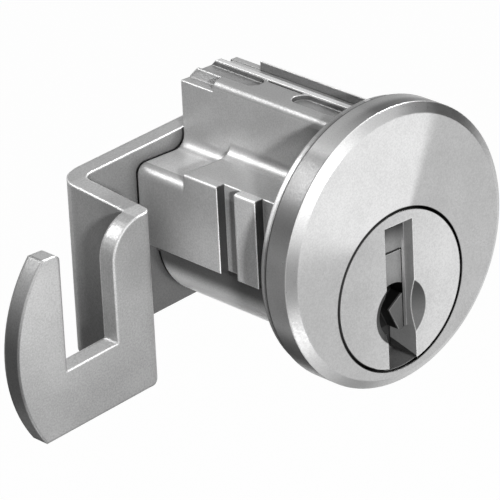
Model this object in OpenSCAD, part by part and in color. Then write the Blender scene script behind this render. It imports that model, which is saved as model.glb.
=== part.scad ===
// Pin tumbler mailbox lock with a hook cam.
// Y runs along the plug's axis and the front looks along -Y. X points to the right of a person
// who faces the lock, and Z points up. The origin is on the plug's axis, in the plane of the
// flange's back, which seats on the door. All sizes are in millimetres.

/* [Flange and face cap] */
// Outer diameter of the face cap
face_d = 25.4; // [25:0.1:30]
// Height of the flange's centre above the plug's axis
flange_rise = 3.9; // [3:0.1:4.4]
// Distance from the door to the flat of the face
face_h = 3.8; // [3.4:0.1:6]
// Width of the bevel round the face
bevel_w = 0.9; // [0.5:0.1:2]
// Depth of the bevel round the face
bevel_h = 0.6; // [0.2:0.1:1]
// Sheet thickness of the face cap
cap_wall = 0.4; // [0.3:0.05:0.6]
// Thickness of the cast rim that shows behind the cap
rim_t = 0.6; // [0.4:0.1:1]
// How far the cap stands out past the cast rim
rim_step = 0.25; // [0.1:0.05:0.5]
// Open joint between the cap's edge and the cast rim
cap_joint = 0.18; // [0.05:0.01:0.2]

/* [Body] */
// Length of the body behind the door's face
body_l = 19.5; // [19:0.1:24]
// Diameter of the barrel round the plug
barrel_d = 13.7; // [13:0.1:14]
// Width across the clip sides of the shoulder block
block_w = 17.6; // [16:0.1:18]
// Height of the block's underside above the plug's axis
block_base = 0.5; // [0:0.1:1]
// Height of the front shoulder above the plug's axis
shoulder_h = 8.6; // [8:0.1:9]
// How much lower the rear shoulder is
shoulder_drop = 0.85; // [0.3:0.05:1.5]
// Distance from the door to the step between the shoulders
shoulder_step_y = 13.5; // [11:0.1:15]
// Edge radius of the front shoulder
front_edge_r = 0.3; // [0.1:0.05:0.6]
// Edge radius of the rear shoulder
rear_edge_r = 1; // [0.3:0.1:1.4]
// Width of the pin tower
tower_w = 6.5; // [6.4:0.1:7]
// Height of the pin tower above the plug's axis
tower_h = 15; // [14.6:0.1:15.6]
// Edge radius of the pin tower
tower_edge_r = 0.8; // [0.3:0.1:1]
// Radius of the blend between tower and shoulders
tower_blend_r = 1.2; // [0.5:0.1:2]
// Length of the step cut in the tower's rear corner
tower_step_l = 4.1; // [2:0.1:6]
// Width of the step cut in the tower's rear corner
tower_step_w = 1.1; // [0.5:0.1:1.2]
// Depth of the step cut in the tower's rear corner
tower_step_h = 1; // [0.5:0.1:1.5]
// Bevel on the tower's upper rear edge
tower_bevel = 0.9; // [0.4:0.1:1]
// Length over which the rail is cut away at the rear
rail_step_l = 3.9; // [2:0.1:5]

/* [Clip grooves] */
// Distance from the door to the first clip groove
groove_start = 2.3; // [2.1:0.1:3]
// Width of a clip groove
groove_w = 2.15; // [1.5:0.05:2.4]
// Depth of a clip groove
groove_depth = 0.9; // [0.5:0.05:1.2]
// Width of the land between the grooves
groove_land = 2.65; // [2:0.05:3]

/* [Pin cover] */
// Distance from the door to the front end of the strip's slot
cover_start = 0.2; // [0.1:0.05:0.4]
// Thickness of the strip that closes the pin chambers
cover_t = 0.9; // [0.6:0.1:1.2]
// How far the strip's face lies below the tower's top
cover_depth = 0.8; // [0.5:0.1:1.2]
// Thickness of the rail on the strip's right side
rail_w = 0.65; // [0.4:0.05:0.8]
// Width of the strip that shows between the lip and the rail
cover_show_w = 2; // [1.5:0.1:2.2]
// Width of the strip under the lip
cover_hidden_w = 2.5; // [2.2:0.1:2.6]
// Play round the strip in its slot
cover_play = 0.04; // [0.02:0.01:0.08]
// Width of the staked ridge on the lip's edge
ridge_w = 0.6; // [0.3:0.05:0.7]
// Height of the staked ridge above the tower's top
ridge_h = 0.12; // [0.05:0.01:0.2]
// Width of a staking groove
stake_w = 1.9; // [1:0.1:2]
// Depth of a staking groove
stake_depth = 0.45; // [0.2:0.05:0.6]
// Length of the front staking groove
stake_front_l = 7.4; // [4:0.1:8]
// Distance from the door to the end of the rear staking groove
stake_rear_y = 11.7; // [10:0.1:14]
// Width of the slit between the two staking grooves
slit_w = 0.18; // [0.1:0.01:0.3]

/* [Plug] */
// Diameter of the plug's head in the face
head_d = 14.3; // [14:0.1:14.8]
// Thickness of the plug's head
head_t = 3.3; // [2:0.1:3.5]
// Diameter of the plug's shank in the barrel
plug_d = 9.6; // [9.4:0.1:9.8]
// Radial running clearance of the shank
plug_clearance = 0.05; // [0.02:0.01:0.08]
// Radial gap round the plug's head
head_clearance = 0.25; // [0.1:0.01:0.3]

/* [Keyway] */
// Width of the slot in the plug's face
slot_w = 3.3; // [2.8:0.1:3.6]
// Height of the slot's top above the plug's axis
slot_top = 6.1; // [5:0.1:6.4]
// Depth of the slot's floor
slot_depth = 1; // [0.6:0.1:1.4]
// Diameter of the countersunk key recess
recess_d = 6; // [5:0.1:6.2]
// How far the recess's centre lies below the plug's axis
recess_drop = 2.1; // [1.8:0.1:2.6]
// Full angle of the countersink
recess_angle = 135; // [110:5:140]
// Diameter of the pocket at the bottom of the recess
pocket_d = 4.7; // [4:0.1:4.8]
// Depth of the pocket below the slot's floor
pocket_depth = 1.4; // [0.6:0.1:1.6]
// Width of the keyway's through channel
channel_w = 0.2; // [0.15:0.05:0.6]
// Step from the slot's wall to the channel's wall
channel_inset = 0.35; // [0.1:0.05:0.5]
// Height of the channel's top above the plug's axis
channel_top = 3.1; // [2:0.1:3.6]
// How far the ward block stands up from the slot's floor
ward_step = 0.15; // [0.1:0.05:0.3]
// Height of the ward's lower end below the plug's axis
ward_foot = 4.3; // [4:0.1:4.5]
// Width of the ward's tooth in the pocket
tooth_w = 1.6; // [1:0.05:1.8]
// Height of the tooth's upper corner above the recess's centre
tooth_rise = 1.1; // [0.6:0.1:1.6]
// Width of the key's foot slot in the shank
foot_w = 1.9; // [1.4:0.1:2.2]

/* [Pin tumblers] */
// Diameter of the pins
pin_d = 2.5; // [2.2:0.05:2.5]
// Radial running clearance of the pins
pin_clearance = 0.05; // [0.02:0.01:0.06]
// Distance from the door to the first pin
pin_first_y = 1.8; // [1.6:0.1:2]
// Distance between pins
pin_pitch = 3.2; // [3:0.05:3.25]
// Heights of the key pins' tips above the plug's axis, held as the right key holds them
pin_tips = [0.9, 0.1, 1.4, -0.3, 0.5];
// Height of the chambers' floor in the plug
chamber_floor = -1; // [-1.4:0.1:-0.8]
// Chamfer on the pins' ends
pin_chamfer = 0.35; // [0.2:0.05:0.45]
// Length of the driver pins
driver_l = 3.4; // [2.5:0.1:3.8]
// Gap at the shear line between plug and pins
shear_gap = 0.1; // [0.08:0.01:0.15]
// Gap between the driver pins and the shear line
driver_gap = 0.03; // [0.02:0.01:0.05]
// Wire diameter of the pin springs
spring_wire = 0.25; // [0.2:0.05:0.3]
// Turns of a pin spring
spring_turns = 6; // [4:1:7]

/* [Cam] */
// Thickness of the cam's strip
cam_t = 1.8; // [1.5:0.1:2.2]
// Height of the cam's strip
cam_w = 16.1; // [15:0.1:17]
// Height of the arm's centre above the plug's axis
arm_rise = 1.4; // [0:0.1:1.6]
// Height of the hook plate's centre above the plug's axis
hook_rise = 0.3; // [0:0.1:0.6]
// Gap between the body's rear and the cam's arm
cam_gap = 0.65; // [0.6:0.05:1]
// Distance from the plug's axis to the bend behind the body
reach_rear = 14.4; // [13.5:0.1:15]
// Distance from the plug's axis to the bend at the hook
reach_front = 15.3; // [14.5:0.1:16]
// Distance from the door to the hook's front face
hook_y = 10.15; // [8:0.05:13]
// Inner radius of the bend behind the body
bend_rear_r = 1.1; // [0.5:0.1:1.5]
// Outer radius of the bend at the hook
bend_front_r = 1; // [0.6:0.1:1.6]
// Inner radius of the bend at the hook
fold_r = 0.2; // [0.1:0.05:0.4]

/* [Hook] */
// Radius of the hook's outer edge
hook_r = 13.5; // [12.5:0.1:14.5]
// Distance from the plug's axis to the centre of the outer edge, to the left
hook_cx = 17.4; // [17:0.05:17.8]
// How far the centre of the outer edge lies below the plug's axis
hook_cz = 1; // [0.8:0.1:1.4]
// Distance from the plug's axis to the notch's near wall
notch_x = 19.95; // [19.5:0.05:20.5]
// Width of the notch
notch_w = 5.8; // [5:0.1:6.2]
// Height of the notch's floor below the plug's axis, at its near wall
notch_floor = 2.45; // [2:0.05:4]
// Radius of the notch's mouth on the near side
notch_mouth_r = 3.6; // [1.5:0.1:4]
// Height of the hook's tip above the plug's axis
tip_h = 7.8; // [6.8:0.1:8.2]
// Radius of the hook's lower corner
corner_r = 1.3; // [0.8:0.1:2]
// Radius of the tip's corner
tip_r = 0.5; // [0.3:0.1:0.8]
// Slope of the hook's lower edge and of the notch's floor, in degrees
hook_slope = 5.5; // [0:0.5:8]

/* [Cam fixing] */
// Thickness of the stop washer
stop_t = 0.55; // [0.4:0.05:0.58]
// Height of the stop on the body's rear
stop_h = 0.45; // [0.3:0.05:0.5]
// Turn left between the tab and the stop at each end, in degrees
stop_slack = 2; // [1:0.5:4]
// Radius of the stop washer
stop_r = 5.6; // [5.2:0.1:5.8]
// Radial gap between the stop washer and the stop on the body
stop_clearance = 0.15; // [0.1:0.01:0.3]
// Width of the stop washer's tab
stop_tab_w = 2.4; // [2:0.1:3]
// Diameter of the plug's flatted tail
tail_d = 6.4; // [6.2:0.1:7]
// Distance across the tail's flats
tail_flats = 5; // [4.8:0.1:5.4]
// Clearance round the tail
tail_clearance = 0.05; // [0.03:0.01:0.1]
// Turn of the cam between locked and open, in degrees
cam_turn = 90;
// Diameter of the cam screw
screw_d = 3.9; // [3.5:0.1:4]
// Diameter of the cam screw's head
screw_head_d = 7.4; // [7:0.1:8]
// Height of the cam screw's head
screw_head_h = 2.4; // [2:0.1:3]
// Height of the straight edge of the cam screw's head
screw_edge_h = 1.4; // [1:0.1:1.8]
// Diameter of the flat top of the cam screw's head
screw_top_d = 5.4; // [4.5:0.1:6.5]
// Solid metal between the last pin chamber and the screw's hole
screw_margin = 1.2; // [0.8:0.1:2]
// Width of the screwdriver slot
screw_slot_w = 1; // [0.8:0.1:1.2]
// Depth of the screwdriver slot
screw_slot_depth = 1.1; // [0.8:0.1:1.3]
// Outer diameter of the lock washer
washer_d = 7.2; // [6.8:0.1:7.6]
// Thickness of the lock washer
washer_t = 1; // [0.7:0.1:1.2]
// Width of the lock washer's split
washer_split_w = 0.35; // [0.2:0.05:0.6]
// Direction of the lock washer's split, in degrees
washer_split_turn = 30; // [0:5:90]

/* [Hidden] */
$fn = 96;

// Overshoot of cutting shapes, so that no face is left on a face
cut = 1;
arc_steps = 10;

face_r = face_d / 2;
face_y = -face_h;
core_front_y = face_y + cap_wall;
rim_r = face_r - rim_step;
core_r = face_r - cap_wall;
core_face_r = face_r - bevel_w - cap_wall;
barrel_r = barrel_d / 2;
head_r = head_d / 2;
head_hole_r = head_r + head_clearance;
head_back_y = face_y + head_t;
head_seat_y = head_back_y + plug_clearance;
plug_r = plug_d / 2;
bore_r = plug_r + plug_clearance;
rear_shoulder_h = shoulder_h - shoulder_drop;
land_start = groove_start + groove_w;
rear_groove_start = land_start + groove_land;

cover_top = tower_h - cover_depth;
cover_bottom = cover_top - cover_t;
rail_x = tower_w / 2 - rail_w;
cover_end_y = body_l - cover_depth / 2;
lip_x = rail_x - cover_show_w;
cover_left = lip_x - cover_hidden_w;
stake_x = lip_x - ridge_w - stake_w / 2;
slit_x = lip_x - ridge_w;

pin_r = pin_d / 2;
chamber_r = pin_r + pin_clearance;
pin_count = len(pin_tips);
pin_y = [for (i = [0 : pin_count - 1]) pin_first_y + i * pin_pitch];
key_pin_top = plug_r - shear_gap;
driver_bottom = plug_r + driver_gap;
driver_top = driver_bottom + driver_l;
chambers_end = pin_y[pin_count - 1] + chamber_r;
spring_r = pin_r - pin_chamfer;
spring_sides = 6;
spring_rings = 10 * spring_turns;

slot_wall = slot_w / 2;
slot_floor_y = face_y + slot_depth;
channel_right = slot_wall - channel_inset;
channel_left = channel_right - channel_w;
recess_slope = tan(90 - recess_angle / 2);
pocket_r = pocket_d / 2;

cam_front_y = body_l + cam_gap;
cam_rear_y = cam_front_y + cam_t;
hook_rear_y = hook_y + cam_t;
flare = atan((reach_front - reach_rear) / (cam_front_y - hook_y));
tail_end_y = cam_rear_y - 2 * tail_clearance;
tail_r = tail_d / 2;
screw_r = screw_d / 2;
screw_bore_r = screw_r + plug_clearance;
screw_end_y = chambers_end + screw_margin;
stop_lug_r = stop_r + stop_clearance;
stop_tab_r = barrel_r - stop_clearance;

// Extrudes a flat outline, drawn as seen from the front, from y0 back to y1
module along_y(y0, y1) {
  translate([0, y1, 0]) rotate([90, 0, 0]) linear_extrude(height = y1 - y0) children();
}

// A disc or shaft round an axis parallel to the plug's, from y0 back to y1
module disc_y(r, y0, y1, z = 0) {
  translate([0, y1, z]) rotate([90, 0, 0]) cylinder(r = r, h = y1 - y0);
}

// A cone round an axis parallel to the plug's, with radius r0 at y0 and r1 at y1
module cone_y(r0, r1, y0, y1, z = 0) {
  translate([0, y1, z]) rotate([90, 0, 0]) cylinder(r1 = r1, r2 = r0, h = y1 - y0);
}

// A rectangle between two corners
module rect(x0, z0, x1, z1) {
  translate([x0, z0]) square([x1 - x0, z1 - z0]);
}

// A box between two corners
module box(x0, y0, z0, x1, y1, z1) {
  translate([x0, y0, z0]) cube([x1 - x0, y1 - y0, z1 - z0]);
}

// Points of an arc from angle a0 to angle a1
function arc(cx, cy, r, a0, a1, n = arc_steps) =
  [for (i = [0 : n]) let (a = a0 + (a1 - a0) * i / n) [cx + r * cos(a), cy + r * sin(a)]];

// A rectangle from z0 to z1, symmetric about the axis, with rounded upper corners
module rounded_top(half_w, z0, z1, r) {
  difference() {
    rect(-half_w, z0, half_w, z1);
    for (side = [-1, 1])
      translate([side * (half_w - r), z1 - r]) difference() {
        rect(min(0, side * (r + cut)), 0, max(0, side * (r + cut)), r + cut);
        circle(r = r);
      }
  }
}

// The body's section: barrel, shoulder block and pin tower
module body_section(shoulder_z, edge_r) {
  circle(r = barrel_r);
  rounded_top(block_w / 2, block_base, shoulder_z, edge_r);
  rounded_top(tower_w / 2, block_base, tower_h, tower_edge_r);
  for (side = [-1, 1])
    translate([side * tower_w / 2, shoulder_z]) difference() {
      rect(min(0, side * tower_blend_r), 0, max(0, side * tower_blend_r), tower_blend_r);
      translate([side * tower_blend_r, tower_blend_r]) circle(r = tower_blend_r);
    }
}

// The bottoms of the clip grooves on both sides of the block
module clip_groove(y0) {
  for (side = [-1, 1])
    translate([side * block_w / 2, y0 + groove_w / 2, 0])
      cube([2 * groove_depth, groove_w, 2 * tower_h], center = true);
}

// The slot for the cover strip, which runs under the lip
module cover_channel() {
  box(cover_left, cover_start, cover_bottom, rail_x, body_l + cut, cover_top);
  box(lip_x, cover_start, cover_bottom, rail_x, body_l + cut, tower_h + cut);
}

// The marks of the staking tool, which pushed the lip over the strip
module staking() {
  floor_z = tower_h - stake_depth;
  box(stake_x - stake_w / 2, stake_rear_y + stake_w / 2, floor_z, stake_x + stake_w / 2, body_l + cut, tower_h + cut);
  translate([stake_x, stake_rear_y + stake_w / 2, floor_z]) cylinder(d = stake_w, h = stake_depth + cut);
  box(stake_x - stake_w / 2, cover_start, floor_z, stake_x + stake_w / 2, stake_front_l - stake_w / 2, tower_h + cut);
  translate([stake_x, stake_front_l - stake_w / 2, floor_z]) cylinder(d = stake_w, h = stake_depth + cut);
  box(slit_x - slit_w, stake_front_l, floor_z, slit_x, stake_rear_y, tower_h + cut);
}

// The ring on the body's rear that the stop washer's tab runs in: open over the cam's turn
module stop_ring() {
  half_tab = asin(stop_tab_w / 2 / stop_lug_r) + stop_slack;
  along_y(body_l - cut, body_l + stop_h) difference() {
    circle(r = barrel_r);
    circle(r = stop_lug_r);
    polygon(concat([[0, 0]], arc(0, 0, 2 * barrel_r, 180 - half_tab, 180 + cam_turn + half_tab)));
  }
}

// The bevel on the tower's upper rear edge
module tower_rear_bevel() {
  reach = tower_bevel + cut;
  translate([-tower_w, body_l + cut, tower_h + ridge_h]) rotate([90, 0, 90]) linear_extrude(height = 2 * tower_w)
    polygon([[0, 0], [-reach - ridge_h, 0], [0, -reach - ridge_h]]);
}

module housing() {
  color("silver") difference() {
    union() {
      disc_y(rim_r, -rim_t, 0, flange_rise);
      disc_y(core_r, core_front_y + bevel_h, -rim_t, flange_rise);
      cone_y(core_face_r, core_r, core_front_y, core_front_y + bevel_h, flange_rise);
      along_y(-rim_t, shoulder_step_y) body_section(shoulder_h, front_edge_r);
      along_y(shoulder_step_y, body_l) body_section(rear_shoulder_h, rear_edge_r);
      box(slit_x, -rim_t, cover_top, lip_x, body_l, tower_h + ridge_h);
      stop_ring();
    }
    disc_y(bore_r, face_y, body_l + cut);
    disc_y(head_hole_r, face_y - cut, head_seat_y);
    clip_groove(groove_start);
    clip_groove(rear_groove_start);
    cover_channel();
    staking();
    box(
      -tower_w / 2 - cut, body_l - tower_step_l, tower_h - tower_step_h,
      -tower_w / 2 + tower_step_w, body_l + cut, tower_h + cut
    );
    box(lip_x, body_l - rail_step_l, cover_top, tower_w, body_l + cut, tower_h + cut);
    tower_rear_bevel();
    for (y = pin_y)
      translate([0, y, 0]) cylinder(r = chamber_r, h = cover_bottom + cover_t / 2);
  }
}

// Pressed cap over the flange, with a hole for the plug
module face_cap() {
  edge_y = -rim_t - cap_joint;
  color("gainsboro") difference() {
    union() {
      disc_y(face_r, face_y + bevel_h, edge_y, flange_rise);
      cone_y(face_r - bevel_w, face_r, face_y, face_y + bevel_h, flange_rise);
    }
    disc_y(core_r, core_front_y + bevel_h, edge_y + cut, flange_rise);
    cone_y(core_face_r, core_r, core_front_y, core_front_y + bevel_h, flange_rise);
    disc_y(head_hole_r, face_y - cut, 0);
  }
}

// Strip that closes the pin chambers
module pin_cover() {
  color("lightgray")
    box(
      cover_left + cover_play, cover_start + cover_play, cover_bottom,
      rail_x - cover_play, cover_end_y, cover_top - cover_play
    );
}

// The tooth of the ward, left standing in the pocket
module ward_tooth() {
  polygon([
    [channel_left, tooth_rise - recess_drop],
    [channel_left - tooth_w, -recess_drop],
    [channel_left - tooth_w / 3, -ward_foot],
    [channel_left, -ward_foot]
  ]);
}

// Everything cut from the plug's face
module face_cuts() {
  along_y(face_y - cut, slot_floor_y) rect(-slot_wall, -head_r - cut, slot_wall, slot_top);
  along_y(face_y - cut, slot_floor_y + ward_step) difference() {
    rect(-slot_wall, -ward_foot, slot_wall, slot_top);
    rect(-slot_wall - cut, -head_r, channel_left, channel_top);
  }
  along_y(face_y - cut, head_back_y + cut) rect(-slot_wall, -head_r - cut, slot_wall, -ward_foot);
  cone_y(
    recess_d / 2 + cut / recess_slope, recess_d / 2 - slot_depth / recess_slope,
    face_y - cut, slot_floor_y, -recess_drop
  );
  along_y(face_y - cut, slot_floor_y + pocket_depth) difference() {
    intersection() {
      translate([0, -recess_drop]) circle(r = pocket_r);
      rect(-pocket_r, -head_r, channel_left, head_r);
    }
    ward_tooth();
  }
}

// The keyway's profile through the shank
module keyway() {
  rect(channel_left, -plug_r - cut, channel_right, channel_top);
  rect(channel_right - foot_w, -plug_r - cut, channel_right, -ward_foot);
}

module plug() {
  color("silver") difference() {
    union() {
      disc_y(head_r, face_y, head_back_y);
      disc_y(plug_r, head_back_y, body_l);
      intersection() {
        disc_y(tail_r, body_l, tail_end_y);
        box(-tail_r, body_l - cut, -tail_flats / 2, tail_r, tail_end_y + cut, tail_flats / 2);
      }
    }
    face_cuts();
    along_y(face_y, chambers_end) keyway();
    for (y = pin_y)
      translate([0, y, chamber_floor]) cylinder(r = chamber_r, h = head_r);
    disc_y(screw_bore_r, screw_end_y, tail_end_y + cut);
  }
}

// A pin with chamfered ends, from z0 up to z1
module pin(y, z0, z1) {
  translate([0, y, z0]) cylinder(r1 = pin_r - pin_chamfer, r2 = pin_r, h = pin_chamfer);
  translate([0, y, z0 + pin_chamfer]) cylinder(r = pin_r, h = z1 - z0 - 2 * pin_chamfer);
  translate([0, y, z1 - pin_chamfer]) cylinder(r1 = pin_r, r2 = pin_r - pin_chamfer, h = pin_chamfer);
}

module key_pin(i) {
  color("gold") pin(pin_y[i], pin_tips[i], key_pin_top);
}

module driver_pin(i) {
  color("goldenrod") pin(pin_y[i], driver_bottom, driver_top);
}

// A compression spring as a tube swept along a helix, between the driver and the cover
module pin_spring(i) {
  z0 = driver_top + spring_wire / 2;
  rise = cover_bottom - spring_wire / 2 - z0;
  points = [
    for (k = [0 : spring_rings], s = [0 : spring_sides - 1])
      let (
        turn = 360 * spring_turns * k / spring_rings, a = 360 * s / spring_sides,
        r = spring_r + spring_wire / 2 * cos(a)
      )
        [r * cos(turn), r * sin(turn), z0 + rise * k / spring_rings + spring_wire / 2 * sin(a)]
  ];
  walls = [
    for (k = [0 : spring_rings - 1], s = [0 : spring_sides - 1])
      let (n = spring_sides, t = (s + 1) % n)
        [k * n + s, (k + 1) * n + s, (k + 1) * n + t, k * n + t]
  ];
  first_end = [for (s = [0 : spring_sides - 1]) s];
  last_end = [for (s = [spring_sides - 1 : -1 : 0]) spring_rings * spring_sides + s];
  color("dimgray") translate([0, pin_y[i], 0])
    polyhedron(points = points, faces = concat(walls, [first_end], [last_end]), convexity = 4);
}

// The flatted hole for the plug's tail
module tail_hole() {
  intersection() {
    circle(r = tail_r + tail_clearance);
    square([2 * tail_d, tail_flats + 2 * tail_clearance], center = true);
  }
}

// Washer whose tab meets the body's stop at each end of the turn
module stop_washer() {
  color("darkgray") along_y(body_l, body_l + stop_t) difference() {
    union() {
      circle(r = stop_r);
      intersection() {
        rect(-barrel_r, -stop_tab_w / 2, 0, stop_tab_w / 2);
        circle(r = stop_tab_r);
      }
    }
    tail_hole();
  }
}

// The bent strip as seen from above: arm behind the body, flank beside it, hook plate at the left
module cam_strip() {
  inner = -reach_rear + bend_rear_r * (cos(flare) - sin(flare));
  slant = tan(flare);
  rear_cx = inner;
  rear_cy = cam_front_y - bend_rear_r;
  front_cx = -reach_front - bend_front_r;
  front_cy = hook_y + bend_front_r;
  outer_front_x = -reach_front - cam_t / cos(flare) + slant * cam_t;
  polygon(concat(
    [[cam_w, cam_front_y]],
    arc(rear_cx, rear_cy, bend_rear_r, 90, 180 - flare),
    arc(front_cx, front_cy, bend_front_r, -flare, -90),
    [[-hook_cx - hook_r - cut, hook_y], [-hook_cx - hook_r - cut, hook_rear_y]],
    arc(outer_front_x - fold_r, hook_rear_y + fold_r, fold_r, -90, -flare),
    arc(rear_cx, rear_cy, bend_rear_r + cam_t, 180 - flare, 90),
    [[cam_w, cam_rear_y]]
  ));
}

// The arm and flank as seen from the front: the arm slopes down to the bend and is round at the plug
module arm_outline() {
  half = cam_w / 2;
  translate([0, arm_rise]) circle(r = half);
  polygon([
    [-hook_cx, hook_rise - half], [-reach_rear, hook_rise - half], [0, arm_rise - half],
    [0, arm_rise + half], [-reach_rear, hook_rise + half], [-hook_cx, hook_rise + half]
  ]);
}

// The hook plate as seen from the front
module hook_outline() {
  top = hook_rise + cam_w / 2;
  bottom = hook_rise - cam_w / 2;
  far_x = -notch_x - notch_w;
  fall = tan(hook_slope);
  near_x = -reach_rear;
  corner_x = -reach_front;
  corner_z = bottom + corner_r;
  difference() {
    intersection() {
      translate([-hook_cx, -hook_cz]) circle(r = hook_r);
      polygon(concat(
        [[near_x, top], [near_x, bottom]],
        arc(corner_x - corner_r, corner_z, corner_r, 0, -90 - hook_slope),
        [
          [-hook_cx - hook_r, bottom - fall * hook_r],
          [-hook_cx - hook_r, tip_h],
          [far_x, tip_h],
          [far_x, top]
        ]
      ));
    }
    polygon(concat(
      [[-notch_x, -notch_floor]],
      arc(-notch_x + notch_mouth_r, top - notch_mouth_r, notch_mouth_r, 180, 90),
      [
        [-notch_x + notch_mouth_r, top + cut],
        [far_x, top + cut],
        [far_x, -notch_floor - fall * notch_w]
      ]
    ));
    translate([far_x - tip_r, tip_h - tip_r]) difference() {
      rect(0, 0, tip_r + cut, tip_r + cut);
      circle(r = tip_r);
    }
  }
}

module hook_cam() {
  color("silver") difference() {
    intersection() {
      translate([0, 0, -2 * cam_w]) linear_extrude(height = 4 * cam_w) cam_strip();
      union() {
        along_y(hook_rear_y + bend_front_r, cam_rear_y + cut) arm_outline();
        along_y(hook_y - cut, hook_rear_y + bend_front_r) hook_outline();
      }
    }
    along_y(cam_front_y - cut, cam_rear_y + cut) tail_hole();
  }
}

// Split spring washer under the screw's head
module lock_washer() {
  color("dimgray") along_y(cam_rear_y, cam_rear_y + washer_t) difference() {
    circle(d = washer_d);
    circle(r = screw_bore_r);
    rotate(washer_split_turn) rect(0, -washer_split_w / 2, washer_d, washer_split_w / 2);
  }
}

// Screw that clamps the cam on the plug's tail
module cam_screw() {
  head_y = cam_rear_y + washer_t;
  color("darkgray") difference() {
    union() {
      disc_y(screw_head_d / 2, head_y, head_y + screw_edge_h);
      cone_y(screw_head_d / 2, screw_top_d / 2, head_y + screw_edge_h, head_y + screw_head_h);
      disc_y(screw_r, screw_end_y + plug_clearance, head_y);
    }
    box(
      -screw_head_d, head_y + screw_head_h - screw_slot_depth, -screw_slot_w / 2,
      screw_head_d, head_y + screw_head_h + cut, screw_slot_w / 2
    );
  }
}

housing();
face_cap();
pin_cover();
plug();
key_pin(0);  // key_pin_1
key_pin(1);  // key_pin_2
key_pin(2);  // key_pin_3
key_pin(3);  // key_pin_4
key_pin(4);  // key_pin_5
driver_pin(0);  // driver_pin_1
driver_pin(1);  // driver_pin_2
driver_pin(2);  // driver_pin_3
driver_pin(3);  // driver_pin_4
driver_pin(4);  // driver_pin_5
pin_spring(0);  // pin_spring_1
pin_spring(1);  // pin_spring_2
pin_spring(2);  // pin_spring_3
pin_spring(3);  // pin_spring_4
pin_spring(4);  // pin_spring_5
stop_washer();
hook_cam();
lock_washer();
cam_screw();
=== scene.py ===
import math

import bpy
from mathutils import Matrix, Vector

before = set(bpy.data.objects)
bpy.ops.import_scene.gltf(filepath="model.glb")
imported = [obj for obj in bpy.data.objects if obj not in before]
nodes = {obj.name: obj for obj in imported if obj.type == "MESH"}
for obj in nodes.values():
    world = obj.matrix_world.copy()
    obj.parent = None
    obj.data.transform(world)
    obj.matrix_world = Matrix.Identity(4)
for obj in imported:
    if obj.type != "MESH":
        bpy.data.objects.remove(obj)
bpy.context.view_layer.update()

MM = 0.001


def box(name):
    """The lowest and the highest corner of a CAD node, in mm."""
    corners = [Vector(corner) / MM for corner in nodes[name].bound_box]
    low = Vector([min(corner[axis] for corner in corners) for axis in range(3)])
    high = Vector([max(corner[axis] for corner in corners) for axis in range(3)])
    return low, high


cap_low, cap_high = box("face_cap")
cover_low, cover_high = box("pin_cover")
cam_low, cam_high = box("hook_cam")
body_high = box("housing")[1]
plug_high = box("plug")[1]

# Places on the flange and on the plug's head, in mm
FACE_Y = cap_low.y
CAP_BACK_Y = cap_high.y
FLANGE_Z = (cap_low.z + cap_high.z) / 2
# centre of the fan of painted sheen on the cap's face
SHEEN_CENTRE_Z = FLANGE_Z - 0.3
RIM_R = body_high.x
RIM_Y = CAP_BACK_Y + 0.18
HEAD_R = plug_high.x
HOLE_R = HEAD_R + 0.25
HOLE_FOOT_Z = -6.85

# Places on the barrel and on the block with the clip grooves, in mm
BARREL_R = 6.85
BLOCK_X = 8.8
BLOCK_BASE_Z = 0.5
GROOVE_X = BLOCK_X - 0.9
FRONT_GROOVE_END_Y = 4.45
LAND_END_Y = FRONT_GROOVE_END_Y + 2.65
REAR_GROOVE_END_Y = LAND_END_Y + 2.15
STEP_Y = 13.5
STEP_Z = 7.75

# Places on the pin tower, in mm
TOWER_X = 3.25
TOWER_TOP_Z = 15.0
TOWER_STEP_Y = 15.4
RAIL_X = cover_high.x + 0.04
STAKE_X = cover_low.x - 0.04
STAKE_FLOOR_Z = TOWER_TOP_Z - 0.45
RIDGE_X = 0.6

# Places in the keyway, in mm
SLOT_X = 1.65
SLOT_FLOOR_Y = FACE_Y + 1.0
GAP_LEFT_X = 1.10
GAP_RIGHT_X = GAP_LEFT_X + 0.2
GAP_TOP_Z = 3.1
WARD_Y = SLOT_FLOOR_Y + 0.15
WARD_FOOT_Z = -4.3
# slope of the edge of the painted wedge of shadow in the keyway
WEDGE_SHADOW_SLOPE = 0.25

# Places on the cam, in mm
CAM_T = 1.8
PLATE_BACK_Y = cam_low.y + CAM_T
ARM_Y = cam_high.y - CAM_T
FLANK_X = -14.4
FLANK_TOP_Z = 8.35
ARM_SLOPE = 1.1 / 14.4
HOOK_X = -17.4
HOOK_Z = -1.0
HOOK_R = 13.5
NOTCH_X = -19.95
NOTCH_END_X = NOTCH_X - 5.8
NOTCH_Z = -2.45
HOOK_SLOPE = math.tan(math.radians(5.5))
TIP_Z = 7.8


# Shader nodes
def node(tree, kind, **values):
    """A new node, with values for its inputs and its settings by name."""
    made = tree.nodes.new(kind)
    for key, value in values.items():
        if key in made.inputs:
            made.inputs[key].default_value = value
        else:
            setattr(made, key, value)
    return made


def feed(slot, value):
    """Give a node's input a field or a plain number."""
    if isinstance(value, Field):
        value.tree.links.new(value.socket, slot)
    else:
        slot.default_value = value


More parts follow.
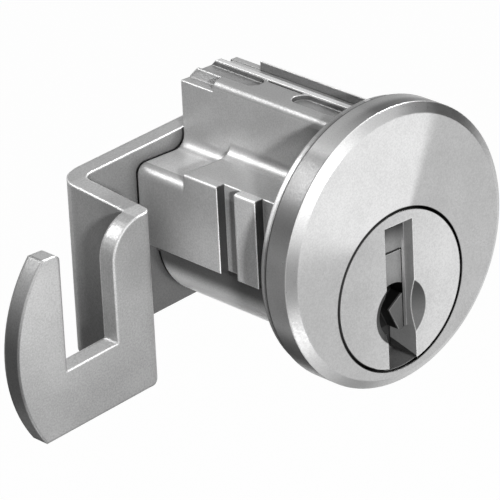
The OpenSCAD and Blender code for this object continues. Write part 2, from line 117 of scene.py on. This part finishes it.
class Field:
    """A number that varies over a piece: a node's output, with arithmetic that adds nodes."""

    def __init__(self, tree, socket):
        self.tree = tree
        self.socket = socket

    def calc(self, operation, *others):
        maths = node(self.tree, "ShaderNodeMath", operation=operation)
        for slot, value in zip(maths.inputs, (self, *others)):
            feed(slot, value)
        return Field(self.tree, maths.outputs[0])

    def __add__(self, other):
        return self.calc("ADD", other)

    def __sub__(self, other):
        return self.calc("SUBTRACT", other)

    def __mul__(self, other):
        return self.calc("MULTIPLY", other)

    def __abs__(self):
        return self.calc("ABSOLUTE")

    def larger(self, other):
        return self.calc("MAXIMUM", other)

    def ramp(self, start, end, at_start=0.0, at_end=1.0):
        """A smooth change from at_start to at_end, where end may be the smaller of the two places."""
        change = node(self.tree, "ShaderNodeMapRange", interpolation_type="SMOOTHSTEP")
        for slot, value in zip(change.inputs, (self, start, end, at_start, at_end)):
            feed(slot, value)
        return Field(self.tree, change.outputs[0])

    def between(self, start, full, last, end):
        """A mask: 1 from full to last, and 0 before start and past end."""
        return self.ramp(start, full) * self.ramp(end, last)

    def near(self, centre, width):
        """A mask: 1 within width of centre, and 0 beyond twice that."""
        return abs(self - centre).ramp(2 * width, width)

    def tint(self, level):
        """A mask as a tone: 1 outside the mask and level inside it."""
        return self.ramp(0.0, 1.0, 1.0, level)

    def choose(self, outside, inside):
        """One value outside this mask and another inside it."""
        mix = node(self.tree, "ShaderNodeMix", data_type="FLOAT")
        for index, value in zip((0, 2, 3), (self, outside, inside)):
            feed(mix.inputs[index], value)
        return Field(self.tree, mix.outputs[0])


def components(tree, vector):
    """A vector's x, y and z as fields."""
    split = node(tree, "ShaderNodeSeparateXYZ")
    tree.links.new(vector, split.inputs[0])
    return [Field(tree, output) for output in split.outputs]


def face_normal(tree):
    return node(tree, "ShaderNodeNewGeometry").outputs["True Normal"]


class Place:
    """Where a point lies on its piece, in mm along the piece's own axes."""

    def __init__(self, tree):
        self.tree = tree
        scaled = node(tree, "ShaderNodeMapping", Scale=(1 / MM,) * 3)
        tree.links.new(node(tree, "ShaderNodeTexCoord").outputs["Object"], scaled.inputs["Vector"])
        self.vector = scaled.outputs[0]
        self.x, self.y, self.z = components(tree, self.vector)
        self.side = abs(self.x)

    def radius(self, centre_x=0.0, centre_z=0.0):
        """The distance from a line that runs along y."""
        x = self.x - centre_x
        z = self.z - centre_z
        return (x * x + z * z).calc("SQRT")

    def noise(self, specks, detail):
        """Noise, with the number of specks per mm."""
        texture = node(self.tree, "ShaderNodeTexNoise", Scale=specks, Detail=detail)
        self.tree.links.new(self.vector, texture.inputs["Vector"])
        return Field(self.tree, texture.outputs[0])


# Tones by place, most of them painted light and shade
def cap_tone(at):
    """A painted sheen on the face, a lighter fan where circular brushing catches light, a darker rim with
    painted light and shade in its own lighter and darker parts, and black at the cap's back edge and in the
    hole for the plug."""
    # painted sheen: the face is lighter in a fan, as circular brushing catches light
    angle = (at.z - SHEEN_CENTRE_Z).calc("ARCTAN2", at.x) * math.degrees(1)
    face = angle.between(60, 76, 146, 178).ramp(0, 1, 0.76, 1.20)
    # painted light and shade on the rim: darker along the top and higher up the sides, lighter at the upper
    # left, at the left and low down
    top = angle.between(30, 50, 84, 122)
    painted_top_shade = at.y.ramp(FACE_Y + 1.3, FACE_Y + 2.3, 0.14, 0.42)
    painted_upper_left_light = angle.near(110, 9).ramp(0, 1, 0, 0.38)
    left = abs(angle).ramp(150, 172).ramp(0, 1, 0, 0.50)
    painted_side_shading = at.z.ramp(FLANGE_Z - 5.9, FLANGE_Z + 0.1, 0.46, 0.20) + painted_upper_left_light
    rim = top.choose(painted_side_shading, painted_top_shade) + left
    on_rim = components(at.tree, face_normal(at.tree))[1].ramp(-0.4, -0.2)
    back_edge = at.y.ramp(CAP_BACK_Y - 0.17, CAP_BACK_Y - 0.02)
    outside_hole = at.radius().ramp(HOLE_R, HOLE_R + 0.07)
    return outside_hole.choose(0.15, back_edge.choose(on_rim.choose(face, rim), 0.08))


def flange_tone(at):
    """Black in the joint under the cap's edge and in the hole round the plug's head, with a lighter foot
    below it, and painted shade low on the cast rim."""
    from_centre = at.radius(centre_z=FLANGE_Z)
    joint = at.y.ramp(RIM_Y + 0.06, RIM_Y + 0.02) * from_centre.ramp(RIM_R - 0.35, RIM_R - 0.25)
    hole = at.radius().ramp(HOLE_R + 0.10, HOLE_R + 0.04) * at.y.ramp(0.1, 0.0)
    above_foot = at.z.ramp(HOLE_FOOT_Z - 0.05, HOLE_FOOT_Z + 0.05)
    below = at.z.ramp(HOLE_FOOT_Z + 0.05, HOLE_FOOT_Z - 0.05)
    # painted shade low on the cast rim
    low_rim_shade = from_centre.ramp(RIM_R - 0.25, RIM_R - 0.15) * at.z.ramp(9.0, 6.0)
    holes = (hole * above_foot).tint(0.10) * (hole * below).tint(0.45)
    return joint.tint(0.08) * holes * low_rim_shade.tint(0.40)


def barrel_tone(at):
    """Painted shadow beside the block, and painted light again lower down."""
    under = at.z.ramp(BLOCK_BASE_Z - 0.05, BLOCK_BASE_Z - 0.20) * at.y.ramp(0.2, 0.4)
    barrel = under * at.radius().ramp(BARREL_R + 0.25, BARREL_R + 0.15)
    return barrel.choose(1.0, at.z.ramp(-1.7, -3.9, 0.22, 2.0))


def groove_tone(at):
    """Painted shade: black rear walls in both clip grooves, and a grey floor in the rear one."""
    rear_wall = at.y.near(FRONT_GROOVE_END_Y, 0.05).larger(at.y.near(REAR_GROOVE_END_Y, 0.05))
    wall = rear_wall * at.side.between(GROOVE_X - 0.04, GROOVE_X + 0.04, BLOCK_X - 0.08, BLOCK_X)
    along = at.y.between(5.5, 6.5, REAR_GROOVE_END_Y - 0.05, REAR_GROOVE_END_Y + 0.05)
    floor = at.side.near(GROOVE_X, 0.04) * along * at.z.ramp(7.5, 7.0)
    return wall.tint(0.07) * floor.tint(0.70)


def block_tone(at):
    """Painted light and shade: the block's sides get lighter to the front, above all low down, and the land
    between the grooves is lightest. Inwards of them, the tower has the flange's shadow painted on it, and
    the shoulder is painted lighter behind its step."""
    # painted light and shade on the sides: lighter to the front, most of all low down, lightest on the land
    side = at.z.ramp(7.0, 1.5).choose(at.y.ramp(18.0, 9.0, 0.85, 1.15), at.y.ramp(18.5, 11.0, 0.50, 1.45))
    side = at.y.ramp(LAND_END_Y + 0.3, LAND_END_Y + 0.1).choose(side, 1.5)
    # painted shadow of the flange on the tower
    shade = at.y.between(0.0, 0.2, 0.5, 5.0) * at.z.ramp(TOWER_TOP_Z - 0.8, TOWER_TOP_Z - 1.0)
    shoulder = at.side.between(3.6, 4.4, GROOVE_X - 0.2, GROOVE_X) * at.z.near(STEP_Z, 0.10)
    # painted light on the shoulder behind its step
    painted_light_behind_step = shoulder * at.y.ramp(STEP_Y + 0.1, STEP_Y + 1.0)
    on_side = at.side.ramp(GROOVE_X - 0.15, GROOVE_X - 0.05)
    return on_side.choose(shade.tint(0.42), side) * painted_light_behind_step.tint(1.5)


def tower_tone(at):
    """Painted shade in the stake grooves, painted highlights on the ridge and the rail with the rest of the
    top painted darker, painted shade on the wall beside the rail, and the rounded edge on the left painted
    duller."""
    top_soft = (TOWER_TOP_Z - 0.07, TOWER_TOP_Z - 0.03)
    # painted shade in the stake grooves
    stake = at.x.between(STAKE_X + 0.1, STAKE_X + 0.2, 0.0, 0.05)
    stake = stake * at.z.between(TOWER_TOP_Z - 0.6, TOWER_TOP_Z - 0.5, *top_soft)
    staked = stake.choose(1.0, at.z.ramp(STAKE_FLOOR_Z + 0.01, STAKE_FLOOR_Z + 0.05, 0.8, 0.3))
    ridge = at.x.between(-0.02, 0.05, RIDGE_X - 0.05, RIDGE_X + 0.02)
    # painted highlights on the ridge and the rail, with the rest of the top painted darker
    ridge_and_rail_highlight = ridge.larger(at.x.ramp(RAIL_X - 0.02, RAIL_X + 0.04)).ramp(0, 1, 0.8, 1.8)
    top = at.z.ramp(TOWER_TOP_Z - 0.10, TOWER_TOP_Z - 0.02).choose(1.0, ridge_and_rail_highlight)
    # painted shade on the wall beside the rail
    rail_wall = at.x.near(RAIL_X, 0.04) * at.z.between(TOWER_TOP_Z - 1.0, TOWER_TOP_Z - 0.9, *top_soft)
    # the rounded left edge painted darker to dull its highlight
    edge = at.x.ramp(0.6 - TOWER_X, 0.4 - TOWER_X) * at.z.ramp(TOWER_TOP_Z - 0.7, TOWER_TOP_Z - 0.5)
    edge = edge * at.y.ramp(TOWER_STEP_Y + 0.2, TOWER_STEP_Y)
    return staked * top * rail_wall.tint(0.40) * edge.tint(0.72)


def zinc_tone(at):
    return flange_tone(at) * barrel_tone(at) * groove_tone(at) * block_tone(at) * tower_tone(at)


def below_face(at):
    """A mask of the plug's recesses."""
    return at.y.ramp(FACE_Y + 0.01, FACE_Y + 0.05)


def keyway_tone(at):
    """Painted shade in the keyway: the slot's floor, darker at the top and low down, with a lighter strip
    right of the gap, its right wall with a painted wedge of shadow at its foot, and the cone of the recess
    round it, darker at the top and to the left."""
    # painted shade on the slot's floor, darker at the top and low down, with a strip right of the gap
    # painted lighter
    strip = at.x.ramp(GAP_RIGHT_X + 0.04, GAP_RIGHT_X + 0.10) * at.z.ramp(4.4, 3.2)
    floor = at.z.ramp(5.7, 3.5, 0.05, 0.40) * at.z.ramp(1.6, -1.0, 1.0, 0.38) * strip.tint(1.6)
    # painted wedge of shadow at the foot of the slot's right wall
    above_wedge_shadow = at.z - (at.y + 3.6) * WEDGE_SHADOW_SLOPE
    wall = above_wedge_shadow.ramp(HOLE_FOOT_Z, HOLE_FOOT_Z + 0.10, 0.06, 0.45)
    slot = at.x.ramp(SLOT_X - 0.07, SLOT_X - 0.01).choose(floor, wall)
    # painted shade in the recess's cone, darker at the top and to the left
    cone = at.z.ramp(-3.4, -0.2, 0.20, 0.05) * at.x.ramp(-1.6, 1.6, 0.35, 1.0)
    return at.side.ramp(SLOT_X + 0.03, SLOT_X + 0.09).choose(slot, cone)


def ward_tone(at):
    """Painted shade: the black gap beside the ward, a black pocket left of it and a dark line level with
    its top.
    """
    above_foot = at.z.ramp(WARD_FOOT_Z - 0.04, WARD_FOOT_Z + 0.02)
    inside = at.y.ramp(SLOT_FLOOR_Y + 0.01, SLOT_FLOOR_Y + 0.05)
    left_of_gap = at.x.ramp(GAP_LEFT_X, GAP_LEFT_X - 0.04)
    # painted shade: the pocket, the gap and a line at the ward's top are darkened
    pocket = at.y.ramp(WARD_Y + 0.03, WARD_Y + 0.10) * left_of_gap * above_foot * at.z.ramp(0.4, 0.2)
    gap = at.x.between(GAP_LEFT_X - 0.06, GAP_LEFT_X - 0.02, GAP_RIGHT_X, GAP_RIGHT_X + 0.06)
    gap = gap * inside * above_foot * at.z.ramp(GAP_TOP_Z + 0.1, GAP_TOP_Z)
    top_shade_line = inside * left_of_gap * at.z.near(GAP_TOP_Z + 0.02, 0.06)
    return pocket.tint(0.07) * gap.tint(0.02) * top_shade_line.tint(0.10)


def plug_tone(at):
    """The turned face with a painted sheen, lighter to the right, the keyway in it and the dark joint round
    the head.
    """
    # painted sheen: the face is lighter to the right
    face = at.x.ramp(-6.0, 6.0, 0.80, 1.10)
    tone = below_face(at).choose(face, keyway_tone(at)) * ward_tone(at)
    joint = at.radius().ramp(HEAD_R - 0.07, HEAD_R - 0.03) * at.z.ramp(-6.4, -6.2)
    return joint.choose(tone, 0.15)


def plug_metallic(at):
    """The recesses are greyer than the turned face."""
    return below_face(at).tint(0.35)


def cam_tone(at):
    """Painted light and shade: lighter to the hook's outer end and upwards, with painted highlights on the
    upper edges, the notch's floor and the tip, painted shade low on the flank, near the bend and on the
    arm, and on the hook's sheared outer edge painted shade in the middle with painted light above and
    below."""
    # painted light on the hook: lighter outwards and upwards
    outward = at.x.ramp(-20.5, -28.0)
    hook = outward.choose(at.z.ramp(6.0, -9.0, 1.30, 0.88), at.z.ramp(6.0, -10.0, 1.50, 1.0))
    hook = hook * at.x.ramp(FLANK_X - 0.4, FLANK_X + 0.2, 1.0, 0.78)
    # painted shade low on the flank and near the bend
    flank = at.y.ramp(PLATE_BACK_Y - 0.05, PLATE_BACK_Y + 0.35) * at.x.ramp(FLANK_X + 0.2, FLANK_X - 0.4)
    flank_shading = at.z.ramp(6.0, -6.0, 1.15, 0.45) * at.y.ramp(16.5, 14.0, 1.0, 0.75)
    tone = flank.choose(hook, flank_shading)
    # painted shade low on the arm
    tone = at.y.ramp(ARM_Y - 0.25, ARM_Y - 0.05).choose(tone, at.z.ramp(8.6, -5.0, 1.0, 0.35))
    rise = (at.x - FLANK_X).larger(0.0) * ARM_SLOPE
    from_top = at.z - rise - FLANK_TOP_Z
    from_notch = at.z - (at.x - NOTCH_X) * HOOK_SLOPE
    in_notch = at.x.between(NOTCH_X + 0.05, NOTCH_X - 0.05, NOTCH_END_X - 0.05, NOTCH_END_X - 0.15)
    notch = from_notch.near(NOTCH_Z, 0.06) * in_notch
    tip = at.z.ramp(TIP_Z - 0.06, TIP_Z - 0.02) * at.x.ramp(-22.0, -23.0)
    # painted highlights on the upper edges, the notch's floor and the tip
    tone = tone * from_top.ramp(-0.12, -0.04, 1.0, 1.45) * notch.tint(1.5) * tip.tint(1.1)
    # the hook's sheared outer edge: painted shade in the middle, painted light above and below
    arc = at.radius(HOOK_X, HOOK_Z).ramp(HOOK_R - 0.25, HOOK_R - 0.08) * at.x.ramp(-20.0, -24.0)
    return arc.choose(tone, at.z.ramp(6.0, 0.0, 0.75, 0.28) * at.z.ramp(-3.5, -8.0, 1.0, 2.4))


# Materials
SHADER_SAMPLES = 8
CLOUDS = 0.26
FINE_SHARE = 0.65
ROUGH_SPREAD = 0.06
BUMP_DEPTH = 0.04


def new_material(name, color, rough):
    """A plain metal, with its tree and its shader."""
    material = bpy.data.materials.new(name)
    material.use_nodes = True
    shader = material.node_tree.nodes["Principled BSDF"]
    shader.inputs["Base Color"].default_value = (*color, 1)
    shader.inputs["Roughness"].default_value = rough
    shader.inputs["Metallic"].default_value = 1.0
    return material, material.node_tree, shader


def outer_edges(tree, rounded, openness, sided):
    """A mask of the outer edges, where the softened normal leaves the face's own. When sided, only
    those that lean up or to the left count, because the photo's light catches them."""
    agreement = node(tree, "ShaderNodeVectorMath", operation="DOT_PRODUCT")
    tree.links.new(rounded, agreement.inputs[0])
    tree.links.new(face_normal(tree), agreement.inputs[1])
    mask = Field(tree, agreement.outputs["Value"]).ramp(0.99, 0.90) * openness.ramp(0.6, 0.85)
    if sided:
        x, y, z = components(tree, rounded)
        mask = mask * (z - x).ramp(0.1, 0.4)
    return mask


def metal(name, dark, light, rough, grain=9.0, bump=0.08, edge=0.0, shade=0.0, reach=2.0,
          tone=None, metallic=1.0, edge_highlight=1.0, sided=True):
    """Satin metal. Its grey runs from dark to light in a fine speckle of grain specks per mm, with a
    cloudier variation under it. Sharp edges are softened to a radius of edge mm. Corners get painted
    shade, darker by shade as far as reach mm from them, and outer edges get a painted highlight, lighter
    by the edge highlight factor, which takes both an edge and a shade. tone multiplies the grey by place,
    and metallic is a number or a function of the place."""
    material, tree, shader = new_material(name, (light,) * 3, rough)
    at = Place(tree)
    fine = at.noise(grain, 2.0)
    speckle = fine * FINE_SHARE + at.noise(CLOUDS, 3.0) * (1 - FINE_SHARE)
    grey = speckle.ramp(0.3, 0.7, dark, light)
    bumps = node(tree, "ShaderNodeBump", Strength=bump, Distance=BUMP_DEPTH * MM)
    if tone:
        grey = grey * tone(at)
    if shade:
        # painted shade in corners, from ambient occlusion
        occlusion = node(tree, "ShaderNodeAmbientOcclusion", samples=SHADER_SAMPLES, Distance=reach * MM)
        openness = Field(tree, occlusion.outputs["AO"])
        grey = grey * openness.ramp(0.1, 0.65, 1.0 - shade, 1.0)
    if edge:
        bevel = node(tree, "ShaderNodeBevel", samples=SHADER_SAMPLES, Radius=edge * MM)
        tree.links.new(bevel.outputs[0], bumps.inputs["Normal"])
    # painted highlight on the outer edges
    if edge_highlight > 1.0:
        grey = grey * outer_edges(tree, bevel.outputs[0], openness, sided).tint(edge_highlight)
    color = node(tree, "ShaderNodeCombineColor")
    for channel in range(3):
        feed(color.inputs[channel], grey)
    tree.links.new(color.outputs[0], shader.inputs["Base Color"])
    feed(shader.inputs["Roughness"], speckle.ramp(0.3, 0.7, rough + ROUGH_SPREAD, rough - ROUGH_SPREAD))
    feed(shader.inputs["Metallic"], metallic(at) if callable(metallic) else metallic)
    feed(bumps.inputs["Height"], fine)
    tree.links.new(bumps.outputs[0], shader.inputs["Normal"])
    return material


def brass_metal():
    """Turned brass, mottled in colour and in roughness."""
    material, tree, shader = new_material("brass", (0.62, 0.46, 0.20), 0.28)
    mottle = Place(tree).noise(4.0, 3.0)
    color = node(tree, "ShaderNodeValToRGB")
    darker, lighter = color.color_ramp.elements
    darker.position = 0.35
    darker.color = (0.50, 0.36, 0.14, 1)
    lighter.position = 0.65
    lighter.color = (0.66, 0.49, 0.21, 1)
    feed(color.inputs[0], mottle)
    tree.links.new(color.outputs[0], shader.inputs["Base Color"])
    feed(shader.inputs["Roughness"], mottle.ramp(0.3, 0.7, 0.36, 0.22))
    return material


zinc = metal("zinc", 0.46, 0.595, rough=0.36, grain=7.0, bump=0.10, edge=0.22, shade=0.8, reach=2.2,
             tone=zinc_tone, metallic=0.35, edge_highlight=1.7)
cam_metal = metal("cam", 0.285, 0.395, rough=0.36, grain=6.2, bump=0.13, edge=0.4, shade=0.5,
                  tone=cam_tone, metallic=0.45, edge_highlight=1.7)
cap_metal = metal("cap", 0.62, 0.73, rough=0.33, grain=7.0, bump=0.05, edge=0.18, tone=cap_tone)
plug_metal = metal("plug_face", 0.59, 0.71, rough=0.34, grain=7.0, bump=0.05, edge=0.16, shade=0.35,
                   reach=0.9, tone=plug_tone, metallic=plug_metallic, edge_highlight=1.7, sided=False)
cover_metal = metal("cover", 0.55, 0.65, rough=0.42, edge=0.1, shade=0.3, reach=1.0, metallic=0.5, edge_highlight=1.5)
steel = metal("steel", 0.36, 0.50, rough=0.34, edge=0.1, shade=0.5, reach=1.0)
spring_metal = metal("spring", 0.25, 0.36, rough=0.30)
brass = brass_metal()


# Pieces
coats = {
    "housing": zinc,
    "face_cap": cap_metal,
    "pin_cover": cover_metal,
    "plug": plug_metal,
    "hook_cam": cam_metal,
    "stop_washer": steel,
    "lock_washer": spring_metal,
    "cam_screw": steel,
}
for number in range(1, 6):
    coats[f"key_pin_{number}"] = brass
    coats[f"driver_pin_{number}"] = brass
    coats[f"pin_spring_{number}"] = spring_metal
for name, coat in coats.items():
    slots = nodes[name].data.materials
    slots.clear()
    slots.append(coat)


def add_object(name, data):
    made = bpy.data.objects.new(name, data)
    bpy.context.scene.collection.objects.link(made)
    return made


# Camera, solved from the photo: turns in degrees, places in mm and the long lens in pixels
AZIMUTH, ELEVATION, ROLL = (math.radians(turn) for turn in (-41.599, 24.198, -2.844))
AIM = Vector((-0.5, 0.0, 0.3))
DISTANCE = 397.633
SHIFT_RIGHT = -9.868
SHIFT_UP = 2.192
FOCAL_PX = 4647.65
PHOTO_PX = 500
SENSOR_WIDTH = 36

back = Vector((math.sin(AZIMUTH) * math.cos(ELEVATION),
               -math.cos(AZIMUTH) * math.cos(ELEVATION),
               math.sin(ELEVATION)))
level_right = Vector((0, 0, 1)).cross(back).normalized()
level_up = back.cross(level_right)
right = level_right * math.cos(ROLL) + level_up * math.sin(ROLL)
up = level_up * math.cos(ROLL) - level_right * math.sin(ROLL)
eye = (AIM + back * DISTANCE + right * SHIFT_RIGHT + up * SHIFT_UP) * MM

lens = bpy.data.cameras.new("camera")
lens.sensor_fit = "HORIZONTAL"
lens.sensor_width = SENSOR_WIDTH
lens.lens = FOCAL_PX / PHOTO_PX * SENSOR_WIDTH
lens.clip_start = 0.01
lens.clip_end = 20
camera = add_object("camera", lens)
camera.matrix_world = Matrix.Translation(eye) @ Matrix((right, up, back)).transposed().to_4x4()
bpy.context.scene.camera = camera


# Light and set, in metres
SET_CENTRE = Vector((-0.008, 0.008, 0.0))
CARD_DISTANCE = 0.4
FLOOR_Z = -0.45
FLOOR_SIZE = 12
FLOOR_GLOW = 0.96
WORLD_LIGHT = 0.15


def face_part(obj, direction, distance):
    """Put a lamp or a card on one side of the part, facing it."""
    away = Vector(direction).normalized()
    obj.location = SET_CENTRE + away * distance
    obj.rotation_euler = away.to_track_quat("Z", "Y").to_euler()


def area(name, direction, distance, size, power):
    """A square lamp."""
    data = bpy.data.lights.new(name, "AREA")
    data.energy = power
    data.size = size
    lamp = add_object(name, data)
    face_part(lamp, direction, distance)
    return lamp


def square(name, size, material):
    half = size / 2
    mesh = bpy.data.meshes.new(name)
    mesh.from_pydata([(-half, -half, 0), (half, -half, 0), (half, half, 0), (-half, half, 0)],
                     [], [(0, 1, 2, 3)])
    mesh.materials.append(material)
    return add_object(name, mesh)


def bare_material(name):
    """A material with an output alone, its tree and the output."""
    material = bpy.data.materials.new(name)
    material.use_nodes = True
    material.node_tree.nodes.clear()
    return material, material.node_tree, node(material.node_tree, "ShaderNodeOutputMaterial")


def card(name, direction, size, strength):
    """A studio card that only shows in reflections."""
    material, tree, output = bare_material(name)
    glow = node(tree, "ShaderNodeEmission", Color=(1, 1, 1, 1), Strength=strength)
    tree.links.new(glow.outputs[0], output.inputs[0])
    obj = square(name, size, material)
    face_part(obj, direction, CARD_DISTANCE)
    obj.visible_camera = False
    obj.visible_shadow = False


def directly_seen(tree):
    """1 for what the camera sees, by itself or mirrored, and 0 for light on the part."""
    path = node(tree, "ShaderNodeLightPath").outputs
    camera_ray, glossy_ray, through_ray = (
        Field(tree, path[kind]) for kind in ("Is Camera Ray", "Is Glossy Ray", "Is Transmission Ray"))
    return camera_ray.larger(glossy_ray.larger(through_ray))


def floor():
    """A white floor well below the part, which takes the part's faint shadow and looks white, but
    lights the part only as a grey floor would."""
    material, tree, output = bare_material("floor")
    paint = node(tree, "ShaderNodeBsdfDiffuse", Color=(0.12, 0.12, 0.12, 1))
    glow = node(tree, "ShaderNodeEmission", Color=(1, 1, 1, 1), Strength=FLOOR_GLOW)
    white = node(tree, "ShaderNodeAddShader")
    tree.links.new(paint.outputs[0], white.inputs[0])
    tree.links.new(glow.outputs[0], white.inputs[1])
    grey = node(tree, "ShaderNodeBsdfDiffuse", Color=(0.7, 0.7, 0.7, 1))
    pick = node(tree, "ShaderNodeMixShader")
    feed(pick.inputs[0], directly_seen(tree))
    tree.links.new(grey.outputs[0], pick.inputs[1])
    tree.links.new(white.outputs[0], pick.inputs[2])
    tree.links.new(pick.outputs[0], output.inputs[0])
    obj = square("floor", FLOOR_SIZE, material)
    obj.location.z = FLOOR_Z


def surroundings():
    """White to the camera and in reflections, and dim as light on the part."""
    world = bpy.data.worlds.new("studio")
    world.use_nodes = True
    tree = world.node_tree
    background = tree.nodes["Background"]
    background.inputs["Color"].default_value = (1, 1, 1, 1)
    feed(background.inputs["Strength"], directly_seen(tree).ramp(0.0, 1.0, WORLD_LIGHT, 1.0))
    bpy.context.scene.world = world


key_light = area("key_light", (-0.46, -0.84, 0.28), distance=0.8, size=0.06, power=7.0)
key_light.visible_glossy = False
gleams = (
    area("bevel_light", (-0.11, -0.915, 0.38), distance=0.6, size=0.16, power=0.35),
    area("kick_light", (-0.226, -0.65, -0.71), distance=0.3, size=0.08, power=0.05),
    area("edge_light", (-0.41, 0.68, 0.61), distance=0.6, size=0.24, power=1.25),
    area("top_light", (0.606, 0.0, 0.80), distance=0.6, size=0.20, power=3.0),
)
for gleam in gleams:
    gleam.visible_diffuse = False

card("card_left", (-0.605, 0.55, -0.30), size=0.41, strength=0.25)
card("card_right", (0.93, -0.33, 0.22), size=0.30, strength=0.02)
card("card_upper_right", (0.48, -0.70, 0.52), size=0.14, strength=0.40)
card("card_front", (-0.55, -0.75, -0.30), size=0.23, strength=0.30)
card("card_under", (0.05, 0.68, -0.70), size=0.24, strength=0.08)
card("card_back", (0.606, 0.682, 0.41), size=0.30, strength=0.75)
card("card_below", (0.35, -0.15, -0.93), size=0.14, strength=0.30)

floor()
surroundings()
bpy.context.scene.view_settings.view_transform = "Standard"
